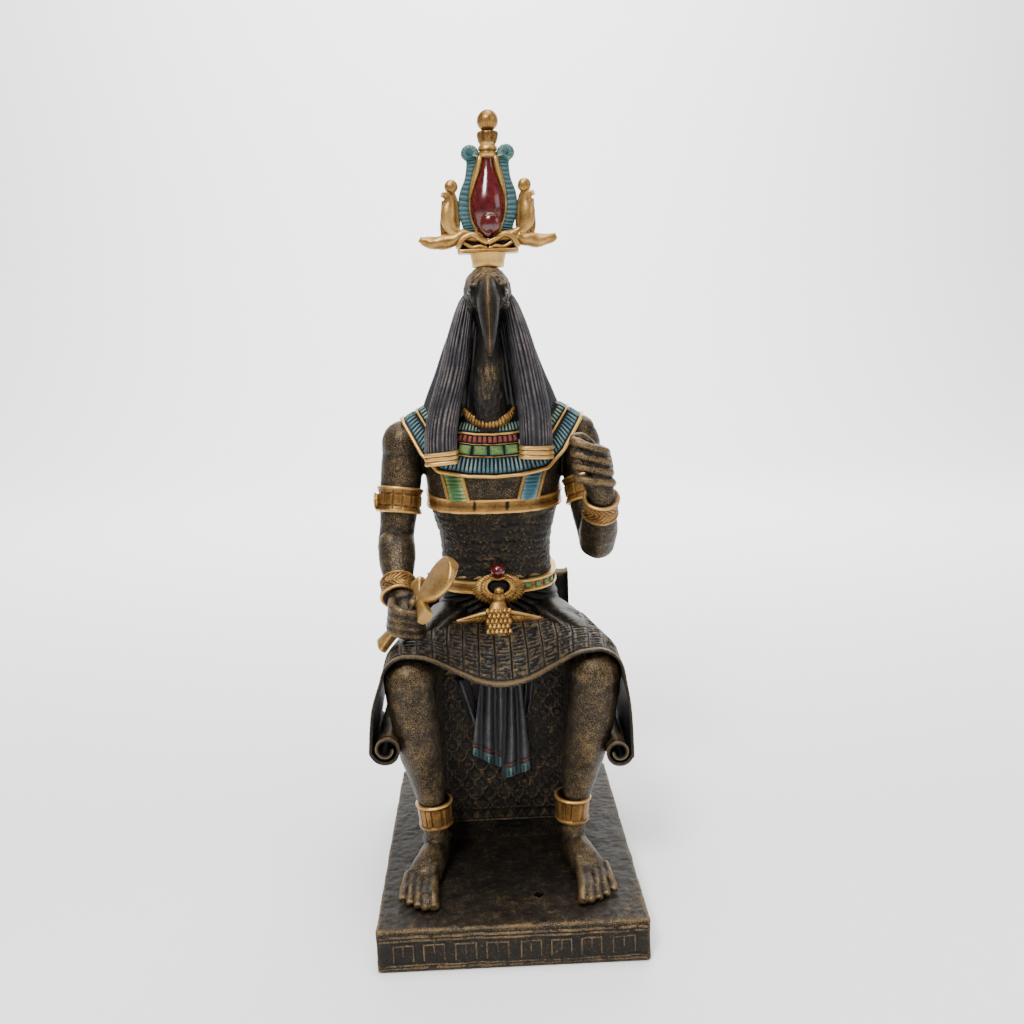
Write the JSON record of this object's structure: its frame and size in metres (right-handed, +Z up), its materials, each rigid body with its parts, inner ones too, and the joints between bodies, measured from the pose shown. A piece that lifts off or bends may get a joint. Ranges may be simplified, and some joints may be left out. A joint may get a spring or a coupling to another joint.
{
  "type": "seated ibis-headed figurine",
  "caption": "Seated ibis-headed figure on a block throne and plinth, with a plumed crown and a looped cross in one fist; a cast and painted shelf ornament.",
  "frame": {"origin": "middle of the plinth's underside", "axes": "+Z up, -Y is where the figure looks, +X to the right of a viewer who faces the figure"},
  "size_m": [0.1002, 0.1336, 0.3028],
  "materials": {
    "aged_bronze_resin": "painted dark bronze with gold dry-brushing on the raised parts",
    "antique_gold_paint": "satin antique gold paint with dark wash in the recesses"
  },
  "bodies": {
    "root": {"statue": "aged_bronze_resin", "crown": "antique_gold_paint", "ankh": "antique_gold_paint"}
  },
  "joints": []
}
